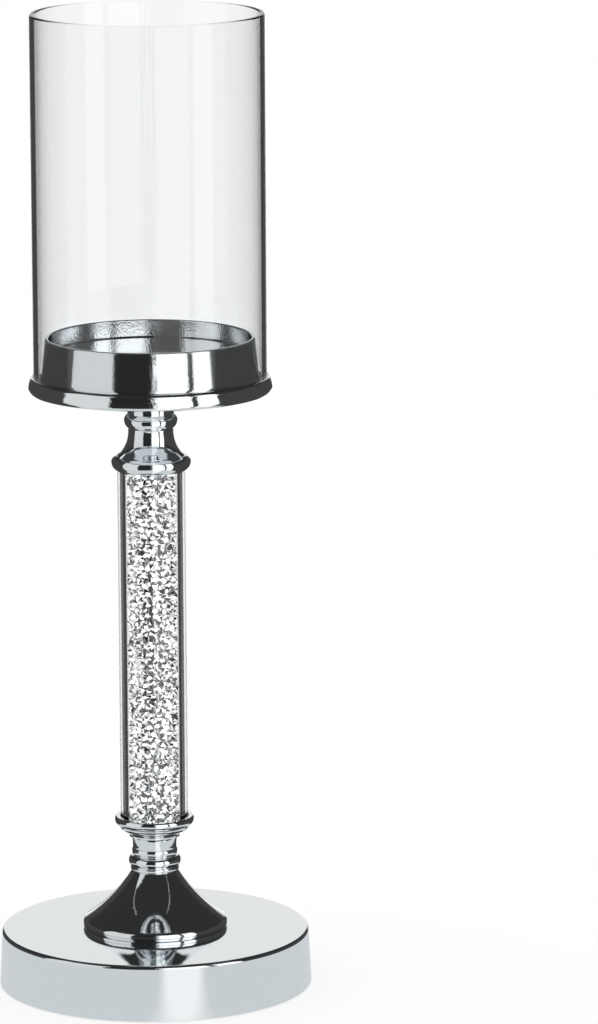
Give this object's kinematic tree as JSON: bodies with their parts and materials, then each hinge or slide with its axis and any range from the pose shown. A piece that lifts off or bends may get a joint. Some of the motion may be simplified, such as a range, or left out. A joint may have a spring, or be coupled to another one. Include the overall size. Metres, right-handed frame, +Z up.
{
  "type": "candle lamp with glass shade",
  "caption": "Table candle lamp: clear cylindrical glass shade over a pillar candle cup on a slender chromed stem with a crystal-filled glass column and a round weighted base.",
  "frame": {"origin": "centre of the footprint at table level", "axes": "+Z up along the stem, the axis of every turned piece; +X and +Y are alike because the lamp is round"},
  "size_m": [0.1314, 0.1314, 0.41],
  "materials": {
    "polished_chrome": "mirror polished",
    "plain_steel": "plain zinc plated sheet",
    "zinc_steel": "bright zinc plated",
    "ballast_cement": "cast cement",
    "pad_rubber": "fine foam rubber",
    "seal_rubber": "translucent silicone",
    "sleeve_aluminium": "bright drawn tube",
    "tube_glass": "clear polished",
    "crystal_glass": "clear crushed crystal",
    "shade_glass": "clear, fire polished rim"
  },
  "bodies": {
    "stand": {"base_pad": "pad_rubber", "base_cover": "plain_steel", "base_weight": "ballast_cement", "base_shell": "polished_chrome", "base_nut": "zinc_steel", "lock_washer": "zinc_steel", "base_washer": "zinc_steel", "tie_rod": "zinc_steel", "bell_foot": "polished_chrome", "knop": "polished_chrome", "lower_collar": "polished_chrome", "lower_seal": "seal_rubber", "glass_tube": "tube_glass", "core_sleeve": "sleeve_aluminium", "crystal_chips": "crystal_glass", "upper_seal": "seal_rubber", "upper_collar": "polished_chrome", "plate_neck": "polished_chrome", "shade_plate": "polished_chrome", "cup_boss": "zinc_steel", "candle_cup": "polished_chrome"},
    "shade": {"glass_shade": "shade_glass"}
  },
  "joints": [
    {"name": "shade_lift", "type": "slide", "parent": "stand", "child": "shade", "axis": [0, 0, 1], "range_m": [0, 0.16]}
  ]
}
